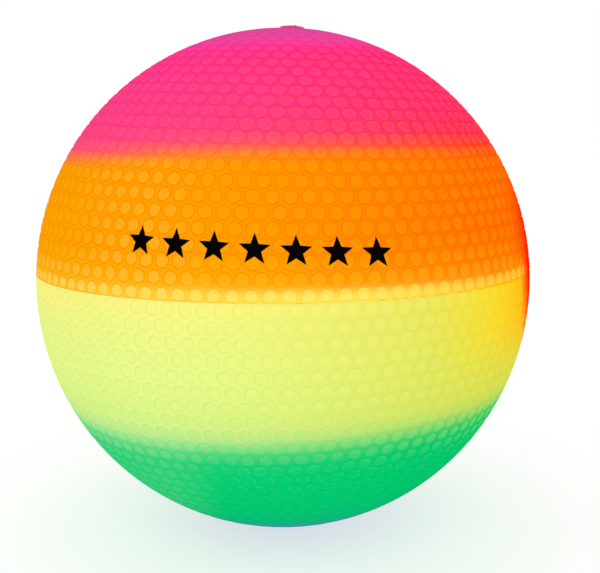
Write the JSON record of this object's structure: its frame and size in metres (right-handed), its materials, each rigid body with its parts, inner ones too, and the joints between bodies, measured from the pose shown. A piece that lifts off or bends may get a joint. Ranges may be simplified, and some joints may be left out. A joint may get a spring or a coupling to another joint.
{
  "type": "inflatable play ball",
  "caption": "Inflatable vinyl ball with rainbow colour bands, a fine parting line, raised grip discs and a small needle valve at the top.",
  "frame": {"origin": "centre of the ball", "axes": "+Z along the mould axis, square to the parting line and towards the valve; +X towards the side that the valve leans to; -Y is the front of the colour pattern"},
  "size_m": [0.215, 0.215, 0.2192],
  "materials": {
    "skin_vinyl": "satin soft vinyl, sprayed in soft-edged rainbow bands",
    "collar_vinyl": "satin soft vinyl, dark pink",
    "core_rubber": "matte moulded rubber, tinted by the pink spray"
  },
  "bodies": {
    "root": {"ball_skin": "skin_vinyl", "valve_collar": "collar_vinyl", "valve_core": "core_rubber"}
  },
  "joints": []
}
